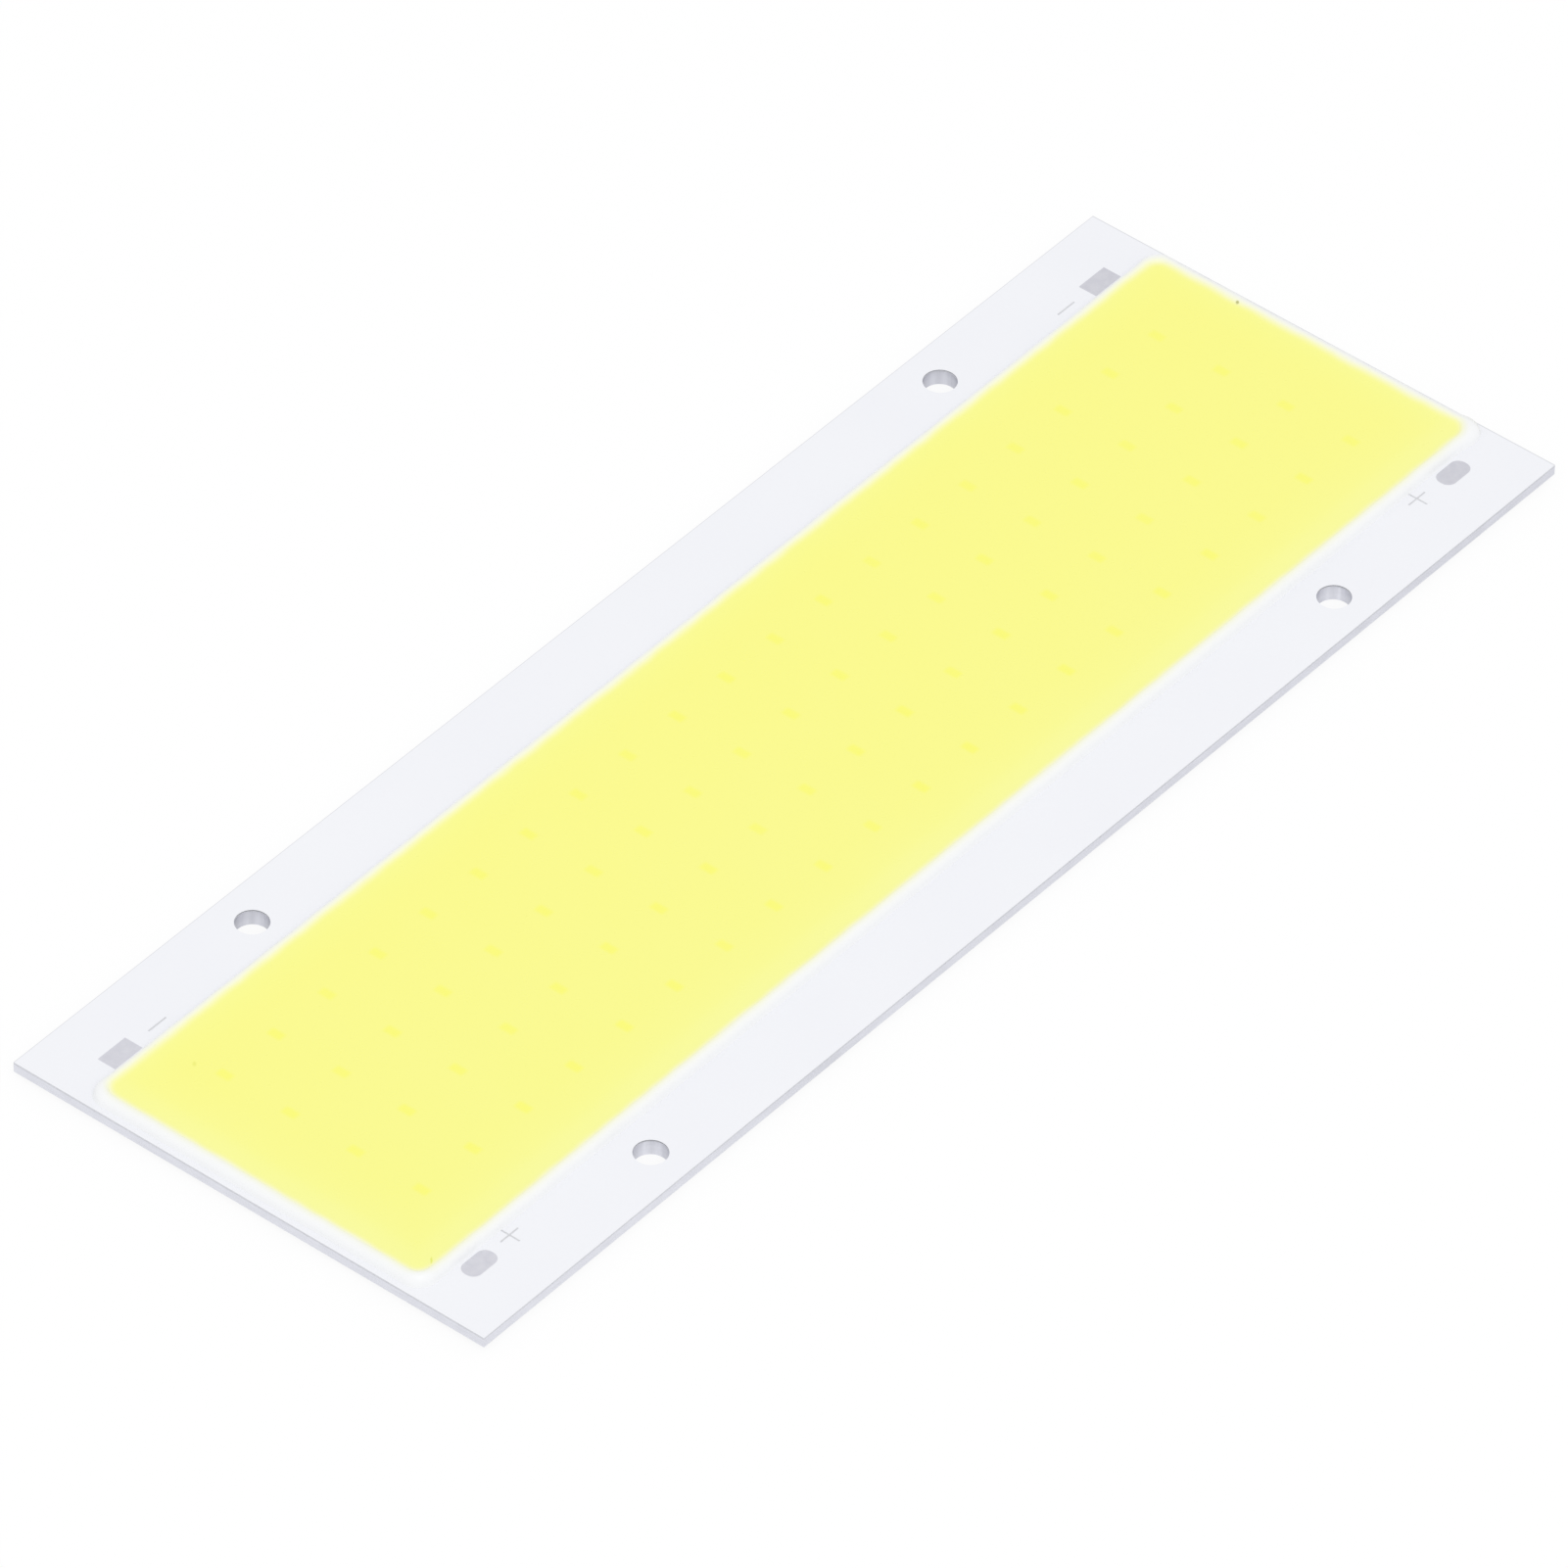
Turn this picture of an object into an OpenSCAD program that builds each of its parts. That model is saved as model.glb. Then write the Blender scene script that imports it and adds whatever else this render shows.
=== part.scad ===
// Flat chip-on-board LED panel. Eighty bare LED chips stand in four rows on an aluminium-core
// circuit board. The chips of a row are in parallel and the four rows are in series, each wired
// from its own copper rail to the next one. A white silicone dam on the solder mask holds the
// yellow phosphor silicone that buries the chips and their wires. A plus and a minus solder pad
// stand at each end. Millimetres, +Z up; the origin is the centre of the board's underside.

/* [Board] */
// Length of the board
board_l = 140; // [110:1:200]
// Width of the board
board_w = 50; // [46:1:80]
// Thickness of the aluminium base
base_t = 1.4; // [0.9:0.1:3]
// Height of the bevel that the panel's scoring cut leaves round the underside
score_t = 0.57; // [0.2:0.01:0.8]
// Thickness of the insulating layer between aluminium and copper
dielectric_t = 0.1; // [0.05:0.01:0.3]
// Thickness of the copper circuit
copper_t = 0.07; // [0.035:0.005:0.2]
// Thickness of the solder mask above the copper
mask_t = 0.03; // [0.02:0.01:0.1]

/* [Fixing holes] */
// Diameter of the four fixing holes
hole_d = 3; // [2:0.1:4]
// From the board's end to a hole's centre
hole_end = 25.35; // [12:0.05:45]
// From the board's long edge to a hole's centre
hole_side = 3.75; // [2.5:0.05:4.5]

/* [Solder pads] */
// Length of a solder pad along the board
pad_l = 3.4; // [2:0.1:5]
// Width of a solder pad
pad_w = 1.9; // [1:0.1:3]
// From the board's end to the centre of a solder pad
pad_end = 6.4; // [4:0.1:9]
// From the board's long edge to the centre of a solder pad
pad_side = 5.9; // [4.8:0.1:6.2]
// Corner radius that tells the plus pads from the square minus pads
plus_pad_r = 0.85; // [0.2:0.05:0.95]
// How far the copper runs under the mask around an opening
mask_lap = 0.15; // [0.05:0.05:0.4]

/* [Polarity marks] */
// Length of a mark's line
mark_l = 2.2; // [1:0.1:3]
// Width of a mark's line
mark_w = 0.15; // [0.1:0.05:0.4]
// Thickness of the printed ink
mark_t = 0.015; // [0.01:0.005:0.05]
// From a solder pad's centre to its mark
mark_dist = 4.6; // [3.6:0.1:7]
// How much further in than their pads the plus marks stand
plus_mark_in = 0.3; // [0:0.05:0.4]
// How much nearer than the other marks the left plus mark stands to its pad
left_mark_shift = 0.5; // [0:0.05:0.6]

/* [Silicone dam] */
// Width of the dam's foot
dam_w = 1.3; // [0.9:0.05:1.8]
// Height of the dam
dam_h = 0.85; // [0.78:0.01:1]
// Radius of the dam's centre line round its corners
dam_r = 1.2; // [1.1:0.1:3]
// How much the bead swells where the nozzle turned the corner
dam_swell = 0.12; // [0:0.02:0.2]
// From the board's end to the dam's centre line
dam_end = 1.35; // [1.2:0.05:4]
// From the board's long edge to the dam's centre line
dam_side = 7.8; // [7.4:0.1:9]

/* [Phosphor fill] */
// Depth of the fill above the solder mask
fill_t = 0.7; // [0.5:0.01:0.76]
// Width of the rim where the fill creeps up the dam
rim_w = 1; // [0.5:0.05:1.05]

/* [Chips] */
// Distance between chips along a row
chip_pitch_x = 6.375; // [3:0.005:9]
// From the dam's centre line to the centres of the outer rows
chip_side = 6.745; // [5.5:0.005:7.6]
// Least distance from the dam's centre line to an end chip's centre
chip_end = 7.5; // [5:0.1:10]
// Width of a chip along the row
chip_w = 0.9; // [0.5:0.05:1.5]
// Length of a chip across the row
chip_l = 1.4; // [0.8:0.05:1.6]
// Thickness of a chip
chip_t = 0.15; // [0.1:0.01:0.3]
// Depth of the etched ledge round the cathode
ledge_t = 0.01; // [0.005:0.005:0.03]
// Radius of the etched ledge
ledge_r = 0.13; // [0.08:0.01:0.2]
// Thickness of the die-attach adhesive
attach_t = 0.02; // [0.01:0.005:0.05]
// How far the adhesive squeezes out round a chip
attach_lap = 0.08; // [0.02:0.01:0.15]

/* [Copper rails] */
// Gap between neighbouring rails
rail_gap = 0.3; // [0.15:0.05:0.6]
// From the dam's centre line to the ends and outer edges of the copper
rail_inset = 1.3; // [0.9:0.1:3]
// From a chip's edge to the gap beside it
chip_to_gap = 0.45; // [0.35:0.05:0.8]
// Opening left in the mask round a chip or a wire's land
window_gap = 0.25; // [0.2:0.01:0.3]
// From the gap to the landing of the wire that crosses it
land_in = 0.45; // [0.4:0.05:0.7]

/* [Bond wires] */
// Diameter of the gold wire
wire_d = 0.03; // [0.02:0.005:0.05]
// Radius of the bend above the chip, which sets the loop's height
wire_bend = 0.2; // [0.1:0.01:0.25]
// Diameter of the ball bonded to the chip
ball_d = 0.09; // [0.07:0.01:0.12]
// Height of the ball, and of the flattened foot on the copper
ball_t = 0.025; // [0.02:0.005:0.035]
// From a chip's edge to the centre of its electrode
electrode_in = 0.16; // [0.14:0.01:0.25]

/* [Hidden] */
$fn = 48;

// Four rows in series: row 1 stands on the plus bus and row 4 feeds the minus bus
ROWS = 4;

// Heights of the layers
copper_z = base_t + dielectric_t;
copper_top = copper_z + copper_t;
board_top = copper_top + mask_t;
chip_z = copper_top + attach_t;
chip_top = chip_z + chip_t;

// Side of the bar whose corner cuts a bevel of the scored height
score_bar = score_t * sqrt(2);

// Fixing holes
hole_x = board_l / 2 - hole_end;
hole_y = board_w / 2 - hole_side;

// Solder pads and marks
pad_x = board_l / 2 - pad_end;
pad_y = board_w / 2 - pad_side;

// The dam's centre line is a rounded rectangle, and its bead is a circle cut off by the mask
dam_half_l = board_l / 2 - dam_end;
dam_half_w = board_w / 2 - dam_side;
bead_r = (pow(dam_w / 2, 2) + pow(dam_h, 2)) / (2 * dam_h);
bead_z = dam_h - bead_r;

// The rim is an arc that starts a hair under the fill's flat top and would reach the dam's crest
rim_dip = 0.002;
rim_rise = dam_h - fill_t + rim_dip;
rim_r = (pow(rim_w, 2) + pow(rim_rise, 2)) / (2 * rim_rise);
// The flat top is made to run on under the rim
flat_in = rim_w / 2;

// Chips: rows spread evenly over the field, as many chips in a row as it takes, centred
chip_pitch_y = 2 * (dam_half_w - chip_side) / (ROWS - 1);
cols = floor(2 * (dam_half_l - chip_end) / chip_pitch_x) + 1;
rail_half_l = dam_half_l - rail_inset;
rail_half_w = dam_half_w - rail_inset;
wire_reach = chip_to_gap + rail_gap + land_in;
land_y = chip_l / 2 + wire_reach;

// Row 1 is the nearest to the plus pads
function col_x(i) = (i - (cols - 1) / 2) * chip_pitch_x;
function row_y(row) = (row - (ROWS + 1) / 2) * chip_pitch_y;
// Lower and upper edge of the gap between a row's own rail and the next
function gap_from(row) = row_y(row) + chip_l / 2 + chip_to_gap;
function gap_to(row) = gap_from(row) + rail_gap;

// Repeats what it is given at every chip of one row
module each_chip(row) {
    for (i = [0 : cols - 1])
        translate([col_x(i), row_y(row), 0]) children();
}

// Repeats what it is given at the four fixing holes
module each_hole() {
    for (x = [-1, 1], y = [-1, 1])
        translate([x * hole_x, y * hole_y]) children();
}

// Repeats what it is given at the left and right solder pad of one polarity
module each_pad(side) {
    for (x = [-1, 1])
        translate([x * pad_x, side * pad_y]) children();
}

module rounded_rect(l, w, r) {
    square([l - 2 * r, w], center = true);
    square([l, w - 2 * r], center = true);
    for (x = [-1, 1], y = [-1, 1])
        translate([x * (l / 2 - r), y * (w / 2 - r)]) circle(r);
}

// The board's outline with its fixing holes, one layer thick
module board_layer(t) {
    linear_extrude(t) difference() {
        square([board_l, board_w], center = true);
        each_hole() circle(d = hole_d);
    }
}

// A strip of copper right along the field, between two distances across the board
module rail(from, to) {
    translate([-rail_half_l, from, copper_z]) cube([2 * rail_half_l, to - from, copper_t]);
}

// A bus: the strip, and the arms that take it under the dam to both its solder pads
module bus(side, from, to) {
    arm_l = pad_l + 2 * mask_lap;
    arm_w = pad_y + pad_w / 2 + mask_lap - rail_half_w;
    translate([0, 0, copper_z]) linear_extrude(copper_t) {
        translate([-rail_half_l, from]) square([2 * rail_half_l, to - from]);
        each_pad(side) translate([-arm_l / 2, -pad_w / 2 - mask_lap])
            translate([0, side > 0 ? pad_w + 2 * mask_lap - arm_w : 0]) square([arm_l, arm_w]);
    }
}

module plus_pad_shape() {
    rounded_rect(pad_l, pad_w, plus_pad_r);
}

module minus_pad_shape() {
    square([pad_l, pad_w], center = true);
}

// Openings in the mask at one chip: one round the chip and its first land, one at the far land
module chip_windows() {
    w = chip_w / 2 + window_gap;
    translate([-w, -land_y - window_gap])
        square([2 * w, land_y + chip_l / 2 + 2 * window_gap]);
    translate([-w, land_y - window_gap]) square([2 * w, 2 * window_gap]);
}

// Carries a profile along the dam's centre line: x is outward from the line and y is upward
module along_dam() {
    for (side = [0 : 3]) {
        across = side % 2 == 0;
        out = across ? dam_half_l : dam_half_w;
        len = 2 * ((across ? dam_half_w : dam_half_l) - dam_r);
        rotate(90 * side) translate([out, len / 2, 0]) rotate([90, 0, 0])
            linear_extrude(len) children();
    }
    for (corner = [0 : 3])
        at_corner(corner, dam_r) rotate(90 * corner)
            rotate_extrude(angle = 90) translate([dam_r, 0]) children();
}

// Places what it is given a distance in from both sides at one corner of the dam's centre line
module at_corner(corner, in) {
    x = corner == 0 || corner == 3 ? 1 : -1;
    y = corner < 2 ? 1 : -1;
    translate([x * (dam_half_l - in), y * (dam_half_w - in), 0]) children();
}

module rim_profile() {
    difference() {
        translate([-rim_w, 0]) square([rim_w - dam_w / 8, dam_h]);
        translate([-rim_w, fill_t - rim_dip + rim_r]) circle(rim_r, $fn = 180);
    }
}

// Part of a ring lying in the view from the side, cut to a window given by two corners
module ring_piece(centre, r, from, to) {
    intersection() {
        translate(centre) difference() {
            circle(r + wire_d / 2);
            circle(r - wire_d / 2);
        }
        translate(from) square(to - from);
    }
}

// A gold wire from an electrode at the origin to a land at +X and a lower level. Seen from the
// side it is a ball, a quarter bend that turns it level, a long arc down, and a flattened foot.
module bond_wire(span, drop) {
    start_z = ball_t / 2;
    top_z = start_z + wire_bend;
    fall = top_z - (ball_t - drop);
    run = span - wire_bend;
    slope = 2 * atan(fall / run);
    long_r = run / sin(slope);
    cylinder(d = ball_d, h = ball_t);
    rotate([90, 0, 0]) linear_extrude(wire_d, center = true) {
        ring_piece([wire_bend, start_z], wire_bend, [-wire_d, start_z], [wire_bend, top_z + wire_d]);
        ring_piece([wire_bend, top_z - long_r], long_r, [wire_bend, -drop], [span, top_z + wire_d]);
    }
    translate([span, 0, -drop]) cylinder(d = ball_d, h = ball_t);
}

// A chip, notched round its cathode down to the etched ledge
module led_chip() {
    difference() {
        translate([-chip_w / 2, -chip_l / 2, chip_z]) cube([chip_w, chip_l, chip_t]);
        translate([0, chip_l / 2 - electrode_in, chip_top - ledge_t])
            cylinder(r = ledge_r, h = 2 * ledge_t);
    }
}

// A chip's two wires: anode to its own rail, cathode across the gap to the next rail
module chip_wires() {
    electrode_y = chip_l / 2 - electrode_in;
    span = land_y - electrode_y;
    translate([0, -electrode_y, chip_top]) rotate(-90) bond_wire(span, chip_top - copper_top);
    translate([0, electrode_y, chip_top - ledge_t]) rotate(90)
        bond_wire(span, chip_top - ledge_t - copper_top);
}

module die_attach(row) {
    color("gainsboro") each_chip(row)
        translate([-chip_w / 2 - attach_lap, -chip_l / 2 - attach_lap, copper_top])
            cube([chip_w + 2 * attach_lap, chip_l + 2 * attach_lap, attach_t]);
}

module led_chips(row) {
    color("lightsteelblue") each_chip(row) led_chip();
}

module bond_wires(row) {
    color("gold") each_chip(row) chip_wires();
}

// What the scoring cutter takes along the underside's four edges: a square bar on its corner
module score_cuts() {
    for (side = [0 : 3])
        rotate(90 * side) translate([(side % 2 == 0 ? board_l : board_w) / 2, 0, 0])
            rotate([0, 45, 0]) cube([score_bar, 2 * board_l, score_bar], center = true);
}

module aluminium_base() {
    color("silver") difference() {
        board_layer(base_t);
        score_cuts();
    }
}

module dielectric_layer() {
    color("whitesmoke") translate([0, 0, base_t]) board_layer(dielectric_t);
}

module plus_bus() {
    color("peru") bus(-1, -rail_half_w, gap_from(1));
}

module series_rail(row) {
    color("peru") rail(gap_to(row), gap_from(row + 1));
}

module minus_bus() {
    color("peru") bus(1, gap_to(ROWS), rail_half_w);
}

// The mask covers the board, fills round the copper and leaves pads and windows open
module solder_mask() {
    color("white") difference() {
        translate([0, 0, copper_z]) board_layer(copper_t + mask_t);
        plus_bus();
        for (row = [1 : ROWS - 1]) series_rail(row);
        minus_bus();
        translate([0, 0, copper_top]) linear_extrude(2 * mask_t) {
            each_pad(-1) plus_pad_shape();
            each_pad(1) minus_pad_shape();
            for (row = [1 : ROWS]) each_chip(row) chip_windows();
        }
    }
}

module plus_pad_tin() {
    color("lightgray") translate([0, 0, copper_top]) linear_extrude(mask_t)
        each_pad(-1) plus_pad_shape();
}

module minus_pad_tin() {
    color("lightgray") translate([0, 0, copper_top]) linear_extrude(mask_t)
        each_pad(1) minus_pad_shape();
}

module plus_marks() {
    mark_x = pad_x - mark_dist;
    color("gray") translate([0, 0, board_top]) linear_extrude(mark_t)
        for (x = [-mark_x - left_mark_shift, mark_x])
            translate([x, plus_mark_in - pad_y]) {
                square([mark_l, mark_w], center = true);
                square([mark_w, mark_l], center = true);
            }
}

module minus_marks() {
    color("gray") translate([0, 0, board_top]) linear_extrude(mark_t)
        for (x = [-1, 1])
            translate([x * (pad_x - mark_dist), pad_y]) square([mark_l, mark_w], center = true);
}

// The dam's bead before the mask flattens its foot: round, and fuller where it turns its corners
module round_bead() {
    translate([0, 0, board_top + bead_z]) {
        along_dam() circle(bead_r);
        for (corner = [0 : 3])
            at_corner(corner, dam_r * (1 - cos(45))) sphere(bead_r + dam_swell);
    }
}

// The dam covers the inner ends of the plus marks
module silicone_dam() {
    color("snow") difference() {
        intersection() {
            round_bead();
            translate([-board_l / 2, -board_w / 2, board_top]) cube([board_l, board_w, 2 * dam_h]);
        }
        plus_marks();
    }
}

// The fill lies in the dam, creeps up its inner side and runs down into the mask's windows
module phosphor_fill() {
    color("khaki") difference() {
        union() {
            translate([0, 0, board_top]) {
                linear_extrude(fill_t)
                    rounded_rect(2 * (dam_half_l - flat_in), 2 * (dam_half_w - flat_in), dam_r - flat_in);
                along_dam() rim_profile();
            }
            translate([0, 0, copper_top]) linear_extrude(2 * mask_t)
                for (row = [1 : ROWS]) each_chip(row) chip_windows();
        }
        round_bead();
        for (row = [1 : ROWS]) {
            die_attach(row);
            led_chips(row);
            bond_wires(row);
        }
    }
}

aluminium_base();
dielectric_layer();
plus_bus();
series_rail(1);  // series_rail_1
series_rail(2);  // series_rail_2
series_rail(3);  // series_rail_3
minus_bus();
solder_mask();
plus_pad_tin();
minus_pad_tin();
plus_marks();
minus_marks();
die_attach(1);  // die_attach_row_1
die_attach(2);  // die_attach_row_2
die_attach(3);  // die_attach_row_3
die_attach(4);  // die_attach_row_4
led_chips(1);  // led_chips_row_1
led_chips(2);  // led_chips_row_2
led_chips(3);  // led_chips_row_3
led_chips(4);  // led_chips_row_4
bond_wires(1);  // bond_wires_row_1
bond_wires(2);  // bond_wires_row_2
bond_wires(3);  // bond_wires_row_3
bond_wires(4);  // bond_wires_row_4
silicone_dam();
phosphor_fill();
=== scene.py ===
"""Looks of a flat chip-on-board LED panel: its board, pads and marks, silicone dam and phosphor fill.

The circuit board, its copper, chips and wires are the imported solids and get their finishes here.
The dam and the fill were laid by hand as liquids, so they are new surfaces: a bead that wanders a
little along its path, and a pool that creeps up the bead's inner side.
"""
import bmesh
import bpy
import math
import numpy as np
from mathutils import Matrix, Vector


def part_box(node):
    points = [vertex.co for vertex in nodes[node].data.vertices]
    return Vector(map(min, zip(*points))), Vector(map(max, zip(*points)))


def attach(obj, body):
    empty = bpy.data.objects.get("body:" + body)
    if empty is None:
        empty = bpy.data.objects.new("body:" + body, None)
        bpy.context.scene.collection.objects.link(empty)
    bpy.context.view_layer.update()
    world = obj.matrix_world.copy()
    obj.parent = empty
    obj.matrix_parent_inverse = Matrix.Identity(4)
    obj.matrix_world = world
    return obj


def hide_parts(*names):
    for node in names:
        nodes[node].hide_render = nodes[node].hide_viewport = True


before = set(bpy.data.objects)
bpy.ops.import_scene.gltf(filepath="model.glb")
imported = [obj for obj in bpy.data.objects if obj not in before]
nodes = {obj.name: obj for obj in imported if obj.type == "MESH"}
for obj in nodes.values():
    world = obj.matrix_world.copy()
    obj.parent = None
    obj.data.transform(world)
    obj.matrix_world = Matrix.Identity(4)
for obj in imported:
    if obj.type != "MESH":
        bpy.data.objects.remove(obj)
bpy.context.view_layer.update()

MM = 0.001

# Sizes in metres; the dam's halves run to the centre line of its bead
board_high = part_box("solder_mask")[1]
BOARD_TOP = board_high.z
DAM_HALF_X = board_high.x - 1.35 * MM
DAM_HALF_Y = board_high.y - 7.8 * MM
DAM_TURN = 1.2 * MM
DAM_FOOT = 1.3 * MM
DAM_HIGH = 0.85 * MM
CORNER_SWELL = 0.085 * MM
CORNER_REACH = 1.1 * MM
TURN_INSET = DAM_TURN * (1 - math.sqrt(0.5))  # in x and in y, from a square corner to its turn's middle
TOE_OUT = 0.07 * MM
PATH_STRAY = 0.035 * MM
END_SHIFT = 0.16 * MM
FULL_CORNER_REACH = 1.5 * MM
FILL_DEEP = 0.7 * MM
FILL_RIM = 1.0 * MM
FILL_LIFT = 0.004 * MM
CREEP_STRAY = 0.012 * MM

# Shares of the bead's own height and half width
TOE_TOP = 0.3
SIZE_STRAY = 0.02
END_WIDER = 0.18
FULL_CORNER_WIDER = 0.35

# Sizes in millimetres, for the finishes
BOARD_HALF = (board_high.x / MM, board_high.y / MM)
DAM_HALF = (DAM_HALF_X / MM, DAM_HALF_Y / MM)
HOLES_WITHIN = tuple(half - 1 for half in BOARD_HALF)
# Width of the painted shade line along the mask's edges at +X and +Y, on each axis
EDGE_SHADE_WIDE = (0.12, 0.07)
YELLOW_MIDDLE = (0.085, 0.025)
YELLOW_HALF = (DAM_HALF[0] + 0.005, DAM_HALF[1] + 0.025)
YELLOW_TURN = 1.8
YELLOW_WANDER = 0.06
CHIP_PITCH = (6.375, 6.97)
CHIP_SIZE = (0.87, 1.41)
CHIP_FIELD = (10 * CHIP_PITCH[0], 2 * CHIP_PITCH[1])  # half of 20 chips by half of 4 rows
CHIP_BLUR = 0.25
SPECK_PUSH = 0.12


# ---------------------------------------------------------------- finishes

def tone(red, green, blue):
    """A display colour, 0 to 255 a channel, as linear light."""
    code = np.array([red, green, blue]) / 255
    light = np.where(code <= 0.04045, code / 12.92, ((code + 0.055) / 1.055) ** 2.4)
    return (*light.tolist(), 1.0)


class Finish:
    """A node material that is built up node by node round one Principled shader."""

    def __init__(self, name, colour, roughness, metallic=0.0, ior=1.5):
        self.material = bpy.data.materials.new(name)
        self.material.use_nodes = True
        self.tree = self.material.node_tree
        self.shader = self.tree.nodes["Principled BSDF"]
        self.set("Base Color", colour)
        self.set("Roughness", roughness)
        self.set("Metallic", metallic)
        self.set("IOR", ior)

    def set(self, socket, value):
        """Links a node's output to the shader's socket, or writes a constant on it."""
        target = self.shader.inputs[socket]
        if isinstance(value, bpy.types.NodeSocket):
            self.tree.links.new(value, target)
        else:
            target.default_value = value

    def add(self, kind, *values, out=0, **settings):
        """A new node with its settings, its inputs filled in order (None is left), and its output."""
        node = self.tree.nodes.new("ShaderNode" + kind)
        for name, setting in settings.items():
            setattr(node, name, setting)
        for socket, value in zip(node.inputs, values):
            if isinstance(value, bpy.types.NodeSocket):
                self.tree.links.new(value, socket)
            elif value is not None:
                socket.default_value = value
        return node.outputs[out]

    def math(self, operation, *values):
        return self.add("Math", *values, operation=operation)

    def place(self, scale=(1, 1, 1)):
        """Object coordinates in millimetres, stretched by a scale for each axis."""
        where = self.add("TexCoord", out=3)
        return self.add("Mapping", where, None, None, tuple(s / MM for s in scale))

    def plan(self):
        """Object coordinates along the board and across it, in millimetres."""
        parts = self.add("SeparateXYZ", self.place(), out=slice(0, 2))
        return tuple(parts)

    def noise(self, place, size, detail, low=0.0, high=1.0):
        """Cloudy noise with lumps of a given size in millimetres, brought from low to high."""
        cloud = self.add("TexNoise", place, None, 1 / size, detail)
        return self.span(cloud, 0.3, 0.7, low, high)

    def span(self, value, start, end, low, high, smooth=False):
        """Brings a value that runs from start to end to one from low to high, and holds it there."""
        kind = "SMOOTHSTEP" if smooth else "LINEAR"
        return self.add("MapRange", value, start, end, low, high, interpolation_type=kind)

    def blend(self, share, first, second):
        """Mixes two colours; share 0 is all first and share 1 is all second."""
        node = self.tree.nodes.new("ShaderNodeMix")
        node.data_type = "RGBA"
        for socket, value in zip((0, 6, 7), (share, first, second)):
            if isinstance(value, bpy.types.NodeSocket):
                self.tree.links.new(value, node.inputs[socket])
            else:
                node.inputs[socket].default_value = value
        return node.outputs[2]

    def bumps(self, height, depth):
        """Turns a height from 0 to 1 into relief of a given depth in millimetres."""
        node = self.tree.nodes.new("ShaderNodeBump")
        node.inputs["Distance"].default_value = depth * MM
        self.tree.links.new(height, node.inputs["Height"])
        self.set("Normal", node.outputs[0])

    def stops(self, value, *stops):
        """A run of colours: each stop is a value and the colour there."""
        first, last = stops[0][0], stops[-1][0]
        ramp = self.tree.nodes.new("ShaderNodeValToRGB")
        self.tree.links.new(self.span(value, first, last, 0, 1), ramp.inputs[0])
        band = ramp.color_ramp
        while len(band.elements) < len(stops):
            band.elements.new(0.5)
        for element, (at, colour) in zip(band.elements, stops):
            element.position = (at - first) / (last - first)
            element.color = colour
        return ramp.outputs[0]


def both_below(finish, values, limits):
    """1 where the size of each value is below its own limit, otherwise 0."""
    first, second = [finish.math("LESS_THAN", finish.math("ABSOLUTE", value), limit)
                     for value, limit in zip(values, limits)]
    return finish.math("MULTIPLY", first, second)


def in_a_hole(finish):
    """1 away from the board's edges, where the only upright walls are those of the holes."""
    return both_below(finish, finish.plan(), HOLES_WITHIN)


def level(finish):
    """1 where a face lies flat and 0 where it stands upright."""
    upward = finish.add("SeparateXYZ", finish.add("NewGeometry", out=1), out=2)
    return finish.math("GREATER_THAN", finish.math("ABSOLUTE", upward), 0.5)


def from_dam_line(finish):
    """Distance in millimetres from the line where yellow turns white, negative inside it. The line
    is a rounded rectangle, rounder than the bead's own path because silicone gathers in its corners:
    the length of what x and y pass the turns' centres by, less the turn's radius. Along the line the
    distance strays a little, as a hand-laid bead does."""
    over = [
        finish.math("SUBTRACT", finish.math("ABSOLUTE", finish.math("SUBTRACT", along, middle)),
                    half - YELLOW_TURN)
        for along, middle, half in zip(finish.plan(), YELLOW_MIDDLE, YELLOW_HALF)]
    out_x, out_y = [finish.math("MAXIMUM", value, 0.0) for value in over]
    corner = finish.math("SQRT", finish.math(
        "ADD", finish.math("MULTIPLY", out_x, out_x), finish.math("MULTIPLY", out_y, out_y)))
    inside = finish.math("MINIMUM", finish.math("MAXIMUM", *over), 0.0)
    line = finish.math("SUBTRACT", finish.math("ADD", corner, inside), YELLOW_TURN)
    wander = finish.noise(finish.place(), 2.5, 1.0, -YELLOW_WANDER, YELLOW_WANDER)
    return finish.math("ADD", line, wander)


def chip_shadows(finish):
    """1 above the middle of each chip and 0 away from chips, with edges blurred by the phosphor.
    Chips repeat at the pitch: the place within one pitch is the fraction of x or y over it."""
    where = finish.plan()
    share = both_below(finish, where, CHIP_FIELD)
    for along, pitch, size in zip(where, CHIP_PITCH, CHIP_SIZE):
        turns = finish.math("MULTIPLY", along, 1 / pitch)
        off = finish.math("ABSOLUTE", finish.math("SUBTRACT", finish.math("FRACT", turns), 0.5))
        off = finish.math("MULTIPLY", off, pitch)
        over = finish.span(off, size / 2 - CHIP_BLUR, size / 2 + CHIP_BLUR, 1, 0, smooth=True)
        share = finish.math("MULTIPLY", share, over)
    return share


def speck(finish, colour, at, long, wide, speck_colour):
    """Lays one grain of dirt over a colour: an oval of the given length and width with soft, uneven
    edges, turned by 40 degrees. Noise from 0 to 1 pushes its outline about, so its centre is moved
    on by half of the push."""
    ragged = finish.add("TexNoise", finish.place(), None, 6.0, 2.0, out=1)
    place = finish.add("VectorMath", ragged, (SPECK_PUSH,) * 3, finish.place(), operation="MULTIPLY_ADD")
    centre = tuple(a + SPECK_PUSH / 2 for a in at)
    turn = (0, 0, math.radians(40))
    oval = finish.add("Mapping", place, centre, turn, (long, wide, wide), vector_type="TEXTURE")
    reach = finish.add("VectorMath", oval, operation="LENGTH", out=1)
    share = finish.span(reach, 0.2, 0.7, 1, 0, smooth=True)
    return finish.blend(share, colour, speck_colour)


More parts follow.
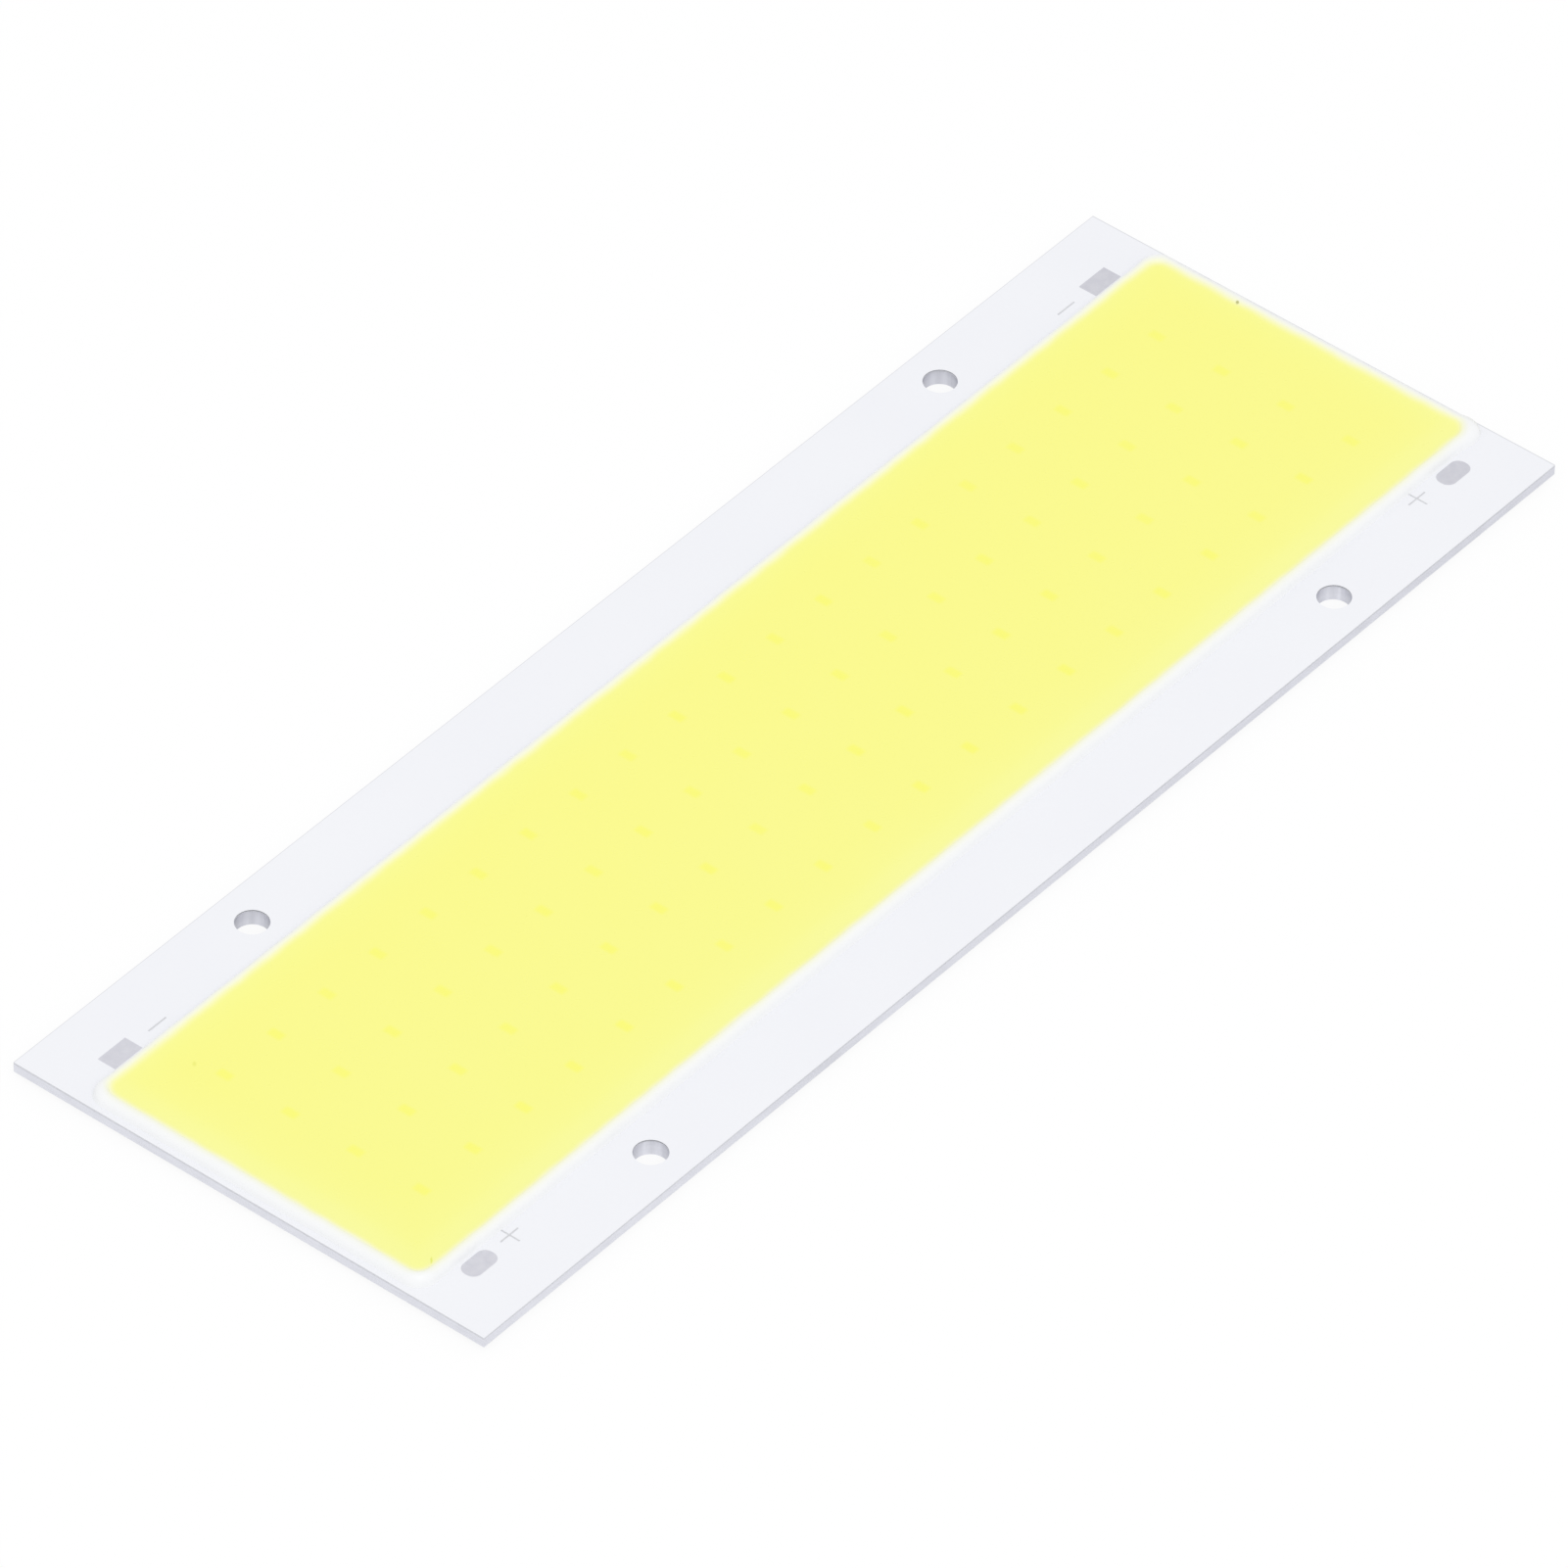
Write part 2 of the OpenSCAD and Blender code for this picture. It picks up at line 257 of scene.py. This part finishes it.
def phosphor_yellow(finish):
    """Colours from the field to the dam's outer side, by distance from the line where yellow turns
    white. Painted light makes it paler along the two near sides, -X and -Y. Painted light and shade also
    shift over the field, from about -1 in the -X -Y corner, where it is a little greener, to about 1 in
    the +X +Y corner, where it is deeper. Both changes stop short of the line."""
    line = from_dam_line(finish)
    yellow = finish.stops(
        line,
        (-4.0, tone(250.5, 249, 140)),
        (-2.0, tone(249.8, 249.8, 142.5)),
        (-1.04, tone(249.5, 250, 147)),
        (-0.84, tone(249.5, 249.5, 151.5)),
        (-0.64, tone(249.5, 249.5, 166)),
        (-0.39, tone(250, 250, 193.5)),
        (-0.15, tone(248.5, 249.2, 219.5)),
        (0.11, tone(245.5, 246.5, 235)),
        (0.36, tone(245.5, 246.5, 244.5)),
        (0.61, tone(245.5, 246.5, 247.5)),
    )
    off_rim = finish.span(line, -0.9, -0.3, 1, 0)

    def lay_over(under, share, colour):
        return finish.blend(finish.math("MULTIPLY", share, off_rim), under, colour)

    x, y = finish.plan()
    # Painted light: paler yellow along the two near sides, -X and -Y
    from_near_side = finish.math(
        "MINIMUM", finish.math("ADD", x, DAM_HALF[0]), finish.math("ADD", y, DAM_HALF[1]))
    near_side_light = finish.stops(
        from_near_side,
        (0.9, (0.6, 0.6, 0.6, 1)),
        (2.0, (0.5, 0.5, 0.5, 1)),
        (3.0, (0.2, 0.2, 0.2, 1)),
        (6.5, (0.0, 0.0, 0.0, 1)),
    )
    yellow = lay_over(yellow, near_side_light, tone(249.5, 250, 161))
    # Painted light and shade: greener toward the -X -Y corner, deeper toward the +X +Y corner
    light_shift = finish.math("MULTIPLY_ADD", x, 0.45 / 62, finish.math("MULTIPLY", y, 0.55 / 14))
    yellow = lay_over(yellow, finish.span(light_shift, -1, 0.2, 0.17, 0), tone(240, 246, 152))
    return lay_over(yellow, finish.span(light_shift, -0.3, 1, 0, 0.2), tone(251, 250, 124))


def white_solder_mask():
    """White enamel with a fine orange peel, a painted shade line along the edges at +X and +Y, and a
    darker cut in its thickness."""
    mask = Finish("white_solder_mask", tone(243, 244, 248), 0.42)
    cloud = mask.noise(mask.place(), 14.0, 2.0)
    white = mask.blend(cloud, tone(241.2, 242.2, 247), tone(242.8, 243.8, 248))
    # Painted shade: a darker line along the top of the mask at its +X and +Y edges
    edge_shade_line = mask.math("MAXIMUM", *[
        mask.math("GREATER_THAN", along, half - wide)
        for along, half, wide in zip(mask.plan(), BOARD_HALF, EDGE_SHADE_WIDE)])
    white = mask.blend(edge_shade_line, white, tone(224, 225, 229))
    cut = mask.blend(in_a_hole(mask), tone(211, 212, 218), tone(165, 166, 172))
    mask.set("Base Color", mask.blend(level(mask), cut, white))
    mask.set("Roughness", mask.noise(mask.place(), 3.0, 3.0, 0.36, 0.5))
    mask.bumps(mask.noise(mask.place(), 0.35, 2.0), 0.0012)
    return mask


def aluminium_sheet():
    """Rolled on its flat faces, with saw marks along the board's sides, darkened from -X to +X by
    painted shade. In the holes the walls carry painted light and shade in bands down the wall, by how
    far the wall faces across the board's diagonal, with scored streaks, and painted shade that deepens
    toward the +Y holes."""
    metal = Finish("aluminium_sheet", tone(221, 222, 230), 0.42, metallic=1.0)
    x, y = metal.plan()
    sawn = metal.noise(metal.place((0.13, 0.13, 1)), 0.24, 2.0)
    patch = metal.noise(metal.place((1, 1, 0.5)), 1.8, 2.0)
    streaks = metal.math("ADD", metal.math("MULTIPLY", sawn, 0.6), metal.math("MULTIPLY", patch, 0.4))
    # Painted shade: the sawn sides are lighter at -X and darker at +X
    sawn_left_lit = metal.blend(streaks, tone(222, 223, 231), tone(235, 236, 243))
    sawn_right_shaded = metal.blend(streaks, tone(213, 214, 222), tone(228, 229, 237))
    sawn_face_with_shade = metal.blend(metal.span(x, -60, 60, 0, 1), sawn_left_lit, sawn_right_shaded)
    # Painted light and shade on the hole walls: bands by how far each wall faces along this axis, across
    # the board's diagonal
    across = (0.636, -0.772, 0)
    facing = metal.add("NewGeometry", out=1)
    turned = metal.add("VectorMath", facing, across, out=1, operation="DOT_PRODUCT")
    drilled_marks_and_shade = metal.stops(
        metal.math("ABSOLUTE", turned),
        (0.0, tone(223, 224, 232)),
        (0.34, tone(235, 236, 244)),
        (0.64, tone(219, 220, 229)),
        (0.87, tone(210, 211, 219)),
        (1.0, tone(202, 203, 212)),
    )
    scored = metal.noise(metal.place((1, 1, 0.05)), 0.45, 1.0, 0.0, 0.16)
    drilled_marks_and_shade = metal.blend(scored, drilled_marks_and_shade, tone(170, 171, 180))
    # Painted shade: the hole walls darken toward the +Y holes
    drilled_marks_and_shade = metal.blend(metal.span(y, -20, 20, 0, 0.15), drilled_marks_and_shade, tone(150, 151, 160))
    rolled = metal.noise(metal.place((0.03, 1, 1)), 0.12, 4.0)
    rolled_face = metal.blend(rolled, tone(206, 208, 212), tone(222, 223, 227))
    flat = level(metal)
    walls = metal.blend(in_a_hole(metal), sawn_face_with_shade, drilled_marks_and_shade)
    metal.set("Base Color", metal.blend(flat, walls, rolled_face))
    metal.set("Roughness", metal.span(streaks, 0, 1, 0.36, 0.5))
    metal.bumps(metal.add("Mix", flat, None, sawn, rolled), 0.006)
    return metal


def insulating_resin():
    """Grainy where it is cut, darkened along the +X half of the board by painted shade, and paler in the
    holes.
    """
    resin = Finish("insulating_resin", tone(202, 203, 209), 0.6)
    grain = resin.noise(resin.place((1, 1, 0.2)), 0.3, 3.0)
    # Painted shade: the cut edge is lighter toward -X and darker toward +X
    left = resin.blend(grain, tone(200, 201, 207), tone(213, 214, 220))
    right = resin.blend(grain, tone(193, 194, 200), tone(206, 207, 213))
    edge = resin.blend(resin.span(resin.plan()[0], -40, 10, 0, 1), left, right)
    resin.set("Base Color", resin.blend(in_a_hole(resin), edge, tone(216, 217, 222)))
    resin.bumps(grain, 0.004)
    return resin


def tinned_pad():
    """Levelled tin in shallow pools, made a little darker at the +X end by painted shade."""
    tin = Finish("tinned_pad", tone(218, 218, 226), 0.4, metallic=0.85)
    pool = tin.noise(tin.place(), 0.8, 3.0)
    left = tin.blend(pool, tone(219, 219, 228), tone(227, 227, 234))
    right = tin.blend(pool, tone(214, 214, 223), tone(222, 222, 229))
    # Painted shade: the tin is lighter at -X and darker at +X
    tin.set("Base Color", tin.blend(tin.span(tin.plan()[0], -60, 60, 0, 1), left, right))
    tin.set("Roughness", tin.span(pool, 0, 1, 0.32, 0.48))
    tin.bumps(tin.noise(tin.place(), 0.25, 3.0), 0.004)
    return tin


def marking_ink():
    """Grey screen print, worn by the grain of the mask."""
    ink = Finish("marking_ink", tone(211, 212, 215), 0.6)
    grain = ink.noise(ink.place(), 0.12, 3.0)
    ink.set("Base Color", ink.blend(grain, tone(204, 205, 209), tone(218, 219, 222)))
    return ink


def copper_foil():
    """Bright copper with stains drawn out along the board."""
    copper = Finish("copper_foil", tone(222, 150, 112), 0.3, metallic=1.0)
    stain = copper.noise(copper.place((0.3, 1, 1)), 0.8, 4.0)
    copper.set("Base Color", copper.blend(stain, tone(208, 132, 96), tone(230, 162, 126)))
    copper.set("Roughness", copper.span(stain, 0, 1, 0.24, 0.42))
    return copper


def die_attach_silicone():
    """Milky adhesive under the chips."""
    glue = Finish("die_attach_silicone", tone(236, 236, 232), 0.35, ior=1.41)
    milky = glue.noise(glue.place(), 0.3, 2.0)
    glue.set("Base Color", glue.blend(milky, tone(229, 229, 224), tone(241, 241, 238)))
    return glue


def chip_sapphire():
    """Pale blue sapphire with the fine relief of its roughened face."""
    chip = Finish("chip_sapphire", tone(176, 196, 222), 0.15, ior=1.77)
    mesa = chip.noise(chip.place((1, 4, 1)), 0.5, 2.0)
    chip.set("Base Color", chip.blend(mesa, tone(160, 182, 214), tone(190, 208, 230)))
    chip.bumps(chip.noise(chip.place(), 0.06, 1.0), 0.002)
    return chip


def gold_wire():
    """Gold with fine drawing marks across the board, the way the wires run."""
    gold = Finish("gold_wire", tone(238, 198, 96), 0.22, metallic=1.0)
    drawn = gold.noise(gold.place((1, 0.2, 1)), 0.05, 2.0)
    gold.set("Base Color", gold.blend(drawn, tone(230, 186, 84), tone(244, 208, 112)))
    gold.set("Roughness", gold.span(drawn, 0, 1, 0.18, 0.3))
    return gold


def dirt_on_dam(finish, colour):
    """The one dark grain that lies across the bead and the edge of the fill."""
    return speck(finish, colour, (68.38, 7.96, 2.38), 0.42, 0.3, tone(188, 186, 124))


def dam_silicone():
    """White silicone, tinted on its inner side by the fill, with painted shade greying its outer flank
    at +X.
    """
    dam = Finish("dam_silicone", tone(246, 247, 248), 0.34, ior=1.41)
    # Painted shade: the bead's outer flank at the +X end is greyed
    end_flank_shade = dam.span(dam.plan()[0], DAM_HALF[0] + 0.2, DAM_HALF[0] + 0.65, 0, 1)
    white = dam.blend(end_flank_shade, phosphor_yellow(dam), tone(236, 237, 235))
    dam.set("Base Color", dirt_on_dam(dam, white))
    dam.set("Roughness", dam.noise(dam.place(), 1.2, 3.0, 0.28, 0.42))
    dam.bumps(dam.noise(dam.place(), 0.8, 2.0), 0.002)
    return dam


def phosphor_silicone():
    """Cloudy yellow silicone with a deeper spot above each chip and a few grains of dirt."""
    fill = Finish("phosphor_silicone", tone(249, 249, 145), 0.3, ior=1.41)
    cloud = fill.noise(fill.place(), 9.0, 3.0, 0.0, 0.12)
    yellow = fill.blend(cloud, phosphor_yellow(fill), tone(251, 250, 124))
    shade = fill.math("MULTIPLY", chip_shadows(fill), fill.noise(fill.place(), 8.0, 1.0, 0.8, 1.0))
    yellow = fill.blend(shade, yellow, tone(250.5, 249.8, 116))
    yellow = speck(fill, yellow, (-66.4, -16.43, 2.32), 0.85, 0.17, tone(230, 235, 114))
    yellow = speck(fill, yellow, (-61.2, 13.2, 2.3), 0.6, 0.34, tone(240, 240, 122))
    fill.set("Base Color", dirt_on_dam(fill, yellow))
    fill.set("Roughness", fill.noise(fill.place(), 1.6, 3.0, 0.26, 0.38))
    fill.bumps(fill.noise(fill.place(), 1.4, 1.0), 0.001)
    return fill


def paint(piece, finish):
    """Gives a piece one finish in place of what it had."""
    piece.data.materials.clear()
    piece.data.materials.append(finish.material)


# ---------------------------------------------------------------- surfaces

def dam_line(straight_step, turn_steps):
    """The dam's centre line, a rounded rectangle walked anticlockwise: points, outward normals,
    and the distance walked. A quarter is a straight run at x = X, then an arc of the turn's radius;
    the other quarters are the same turned by 90 degrees, as complex numbers times i."""
    points, normals, walked, so_far = [], [], [], 0.0
    for quarter in range(4):
        half_x, half_y = (DAM_HALF_X, DAM_HALF_Y) if quarter % 2 == 0 else (DAM_HALF_Y, DAM_HALF_X)
        turned = 1j ** quarter
        run = 2 * (half_y - DAM_TURN)
        along = np.linspace(0, run, round(run / straight_step), endpoint=False)
        points.append(turned * (half_x + 1j * (along - run / 2)))
        normals.append(turned * np.ones_like(along))
        walked.append(so_far + along)
        so_far += run
        angle = np.linspace(0, math.pi / 2, turn_steps, endpoint=False)
        centre = half_x - DAM_TURN + 1j * (half_y - DAM_TURN)
        points.append(turned * (centre + DAM_TURN * np.exp(1j * angle)))
        normals.append(turned * np.exp(1j * angle))
        walked.append(so_far + DAM_TURN * angle)
        so_far += DAM_TURN * math.pi / 2
    return np.concatenate(points), np.concatenate(normals), np.concatenate(walked), so_far


def stray(walked, whole, most, waves, seed):
    """A slow wander along a closed line: a sum of sines that fit a whole number of times into it,
    scaled so that it never passes most."""
    rng = np.random.default_rng(seed)
    counts = rng.integers(waves[0], waves[1], 12)
    phases = rng.uniform(0, 2 * math.pi, 12)
    swings = np.sin(2 * math.pi * walked[:, None] * counts / whole + phases)
    total = swings.sum(1)
    return most * total / np.abs(total).max()


def grid_faces(rows, columns):
    """Quads of a grid that closes on itself round its columns; row by row outward."""
    row, column = np.meshgrid(np.arange(rows - 1), np.arange(columns), indexing="ij")
    after = (column + 1) % columns
    here, below = row * columns, (row + 1) * columns
    return np.stack([here + column, below + column, below + after, here + after], -1).reshape(-1, 4)


def solid(name, vertices, faces, finish, replaced):
    """A smooth piece at the origin, welded where its points meet, that stands for a CAD node."""
    mesh = bpy.data.meshes.new(name)
    mesh.from_pydata(vertices.tolist(), [], faces.tolist())
    welded = bmesh.new()
    welded.from_mesh(mesh)
    bmesh.ops.remove_doubles(welded, verts=welded.verts, dist=1e-8)
    bmesh.ops.recalc_face_normals(welded, faces=welded.faces)
    welded.to_mesh(mesh)
    welded.free()
    mesh.shade_smooth()
    mesh.set_sharp_from_angle(angle=math.radians(60))
    piece = bpy.data.objects.new(name, mesh)
    bpy.context.scene.collection.objects.link(piece)
    paint(piece, finish)
    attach(piece, "root")
    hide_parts(replaced)


def bell(points, middle, reach):
    """1 at the middle, falling to 0 by a bell curve of the distance to it."""
    return np.exp(-(np.abs(points - middle) / reach) ** 2)


def lay_dam(finish):
    """The bead: a half ellipse carried along the centre line. It is as wide as the circle through
    both ends of its foot and its crest, and flares into a soft toe on each side: the lower it is,
    the further out it runs, by the square of how far it is below the toe's top. Its size and its
    place stray a little, and it swells at the four corners by a bell curve of the distance to the
    middle of the turn. It lies further out and wider along the +X end, and widest at the corner
    where the nozzle started and stopped."""
    points, normals, walked, whole = dam_line(straight_step=0.45 * MM, turn_steps=14)
    half_wide = ((DAM_FOOT / 2) ** 2 + DAM_HIGH ** 2) / (2 * DAM_HIGH)
    angle = np.linspace(math.pi / 2, -math.pi / 2, 33)[:, None]
    turn_middle = complex(DAM_HALF_X, DAM_HALF_Y) - TURN_INSET * (1 + 1j)
    folded = np.abs(points.real) + 1j * np.abs(points.imag)
    fuller = 1 + CORNER_SWELL / half_wide * bell(folded, turn_middle, CORNER_REACH)
    fuller = fuller + stray(walked, whole, most=SIZE_STRAY, waves=(20, 120), seed=3)
    beside = stray(walked, whole, most=PATH_STRAY, waves=(12, 70), seed=5)
    toe = np.sign(angle) * TOE_OUT * np.clip(1 - np.cos(angle) / TOE_TOP, 0, 1) ** 2
    on_end = np.clip((points.real - DAM_HALF_X + DAM_TURN) / DAM_TURN, 0, 1)
    at_full_corner = bell(points, turn_middle.conjugate(), FULL_CORNER_REACH)
    wider = fuller + END_WIDER * on_end + FULL_CORNER_WIDER * at_full_corner
    out = half_wide * np.sin(angle) * wider + beside + toe
    up = DAM_HIGH * np.cos(angle) * fuller
    place = points + normals * out + END_SHIFT * on_end
    vertices = np.stack([place.real, place.imag, BOARD_TOP + up], -1)
    rows, columns = place.shape
    base = np.arange(columns)
    after = (base + 1) % columns
    last = (rows - 1) * columns
    underside = np.stack([last + base, base, after, last + after], -1)
    faces = np.concatenate([grid_faces(rows, columns), underside])
    solid("dam_bead", vertices.reshape(-1, 3), faces, finish, "silicone_dam")


def pour_fill(finish):
    """The pool: from a wall hidden in the dam its top falls by a parabola of the distance from the
    dam to the flat level, and runs on flat to the spine of the field, where it closes. A floor on
    the mask closes it below."""
    points, normals, walked, whole = dam_line(straight_step=0.6 * MM, turn_steps=10)
    rise = (DAM_HIGH - FILL_DEEP) / FILL_RIM ** 2
    inward = np.array([0.1, 0.2, 0.3, 0.36, 0.42, 0.5, 0.6, 0.7, 0.8, 0.9, 1.0, 1.1])[:, None] * MM
    creep = stray(walked, whole, most=CREEP_STRAY, waves=(14, 80), seed=8)
    left_of_rim = np.maximum(FILL_RIM - inward, 0)
    slope = points - normals * inward
    slope_up = FILL_DEEP + rise * left_of_rim ** 2 + creep * left_of_rim / FILL_RIM
    spine_half = DAM_HALF_X - DAM_HALF_Y
    spine = np.clip(points.real, -spine_half, spine_half) + 0j
    share = np.array([0.25, 0.6, 1.0])[:, None]
    flat = slope[-1] * (1 - share) + spine * share
    place = np.concatenate([spine[None], slope[:1], slope, flat])
    floor_up = np.zeros((2, len(points)))
    flat_up = np.full(flat.shape, FILL_DEEP)
    up = np.concatenate([floor_up, slope_up, flat_up]) + FILL_LIFT
    vertices = np.stack([place.real, place.imag, BOARD_TOP + up], -1).reshape(-1, 3)
    faces = grid_faces(*place.shape)
    solid("phosphor_pool", vertices, faces, finish, "phosphor_fill")


# ---------------------------------------------------------------- the panel

NODES_OF_FINISH = {
    white_solder_mask: ["solder_mask"],
    aluminium_sheet: ["aluminium_base"],
    insulating_resin: ["dielectric_layer"],
    copper_foil: ["plus_bus", "series_rail_1", "series_rail_2", "series_rail_3", "minus_bus"],
    tinned_pad: ["plus_pad_tin", "minus_pad_tin"],
    marking_ink: ["plus_marks", "minus_marks"],
    die_attach_silicone: ["die_attach_row_" + row for row in "1234"],
    chip_sapphire: ["led_chips_row_" + row for row in "1234"],
    gold_wire: ["bond_wires_row_" + row for row in "1234"],
    dam_silicone: ["silicone_dam"],
    phosphor_silicone: ["phosphor_fill"],
}
finishes = {make: make() for make in NODES_OF_FINISH}
for make, names in NODES_OF_FINISH.items():
    for name in names:
        paint(nodes[name], finishes[make])

lay_dam(finishes[dam_silicone])
pour_fill(finishes[phosphor_silicone])


# ---------------------------------------------------------------- stage, light and camera

def white_floor():
    """A wide pale floor. Seen straight or in a gloss it is largely its own white, so that the
    backdrop stays white while the soft shadow on it is kept."""
    own_white = 0.88
    bpy.ops.mesh.primitive_plane_add(size=6)
    floor = bpy.context.object
    floor.name = "floor"
    material = bpy.data.materials.new("studio_floor")
    material.use_nodes = True
    tree = material.node_tree
    tree.nodes.clear()
    path = tree.nodes.new("ShaderNodeLightPath")
    seen = tree.nodes.new("ShaderNodeMath")
    seen.operation = "ADD"
    seen.use_clamp = True
    tree.links.new(path.outputs["Is Camera Ray"], seen.inputs[0])
    tree.links.new(path.outputs["Is Glossy Ray"], seen.inputs[1])
    share = tree.nodes.new("ShaderNodeMath")
    share.operation = "MULTIPLY"
    share.inputs[1].default_value = own_white
    tree.links.new(seen.outputs[0], share.inputs[0])
    matt = tree.nodes.new("ShaderNodeBsdfDiffuse")
    matt.inputs["Color"].default_value = (0.99, 0.99, 0.99, 1)
    glow = tree.nodes.new("ShaderNodeEmission")
    glow.inputs["Color"].default_value = (1, 1, 1, 1)
    mix = tree.nodes.new("ShaderNodeMixShader")
    tree.links.new(share.outputs[0], mix.inputs[0])
    tree.links.new(matt.outputs[0], mix.inputs[1])
    tree.links.new(glow.outputs[0], mix.inputs[2])
    end = tree.nodes.new("ShaderNodeOutputMaterial")
    tree.links.new(mix.outputs[0], end.inputs["Surface"])
    floor.data.materials.append(material)


def studio_light():
    """An even white room, a little brighter seen straight than the light it gives, and one large
    soft lamp high beside the camera."""
    world = bpy.data.worlds.new("white_room")
    bpy.context.scene.world = world
    world.use_nodes = True
    tree = world.node_tree
    path = tree.nodes.new("ShaderNodeLightPath")
    strength = tree.nodes.new("ShaderNodeMapRange")
    strength.inputs["To Min"].default_value = 0.87
    strength.inputs["To Max"].default_value = 1.0
    tree.links.new(path.outputs["Is Camera Ray"], strength.inputs["Value"])
    room = tree.nodes["Background"]
    room.inputs["Color"].default_value = (1, 1, 1, 1)
    tree.links.new(strength.outputs[0], room.inputs["Strength"])
    lamp = bpy.data.lights.new("soft_box", "AREA")
    lamp.shape = "SQUARE"
    lamp.size = 1.6
    lamp.energy = 9.8
    box = bpy.data.objects.new("soft_box", lamp)
    bpy.context.scene.collection.objects.link(box)
    box.location = (-0.75, -1.0, 1.85)
    box.rotation_euler = (-box.location).to_track_quat("-Z", "Y").to_euler()


def long_lens():
    """The camera: far away with a long lens, looking down on the panel's near corner."""
    eye = (-0.891639, -0.712163, 1.025209)
    right = (0.635834, -0.771664, 0.015781)
    up = (0.508754, 0.434403, 0.743279)
    back = (-0.580417, -0.464573, 0.668796)
    data = bpy.data.cameras.new("long_lens")
    data.lens = 425.21
    data.sensor_width = 36
    data.clip_start = 0.1
    data.clip_end = 20
    camera = bpy.data.objects.new("long_lens", data)
    bpy.context.scene.collection.objects.link(camera)
    turn = Matrix((right, up, back)).transposed().to_4x4()
    camera.matrix_world = Matrix.Translation(eye) @ turn
    bpy.context.scene.camera = camera


white_floor()
studio_light()
long_lens()
bpy.context.scene.view_settings.view_transform = "Standard"
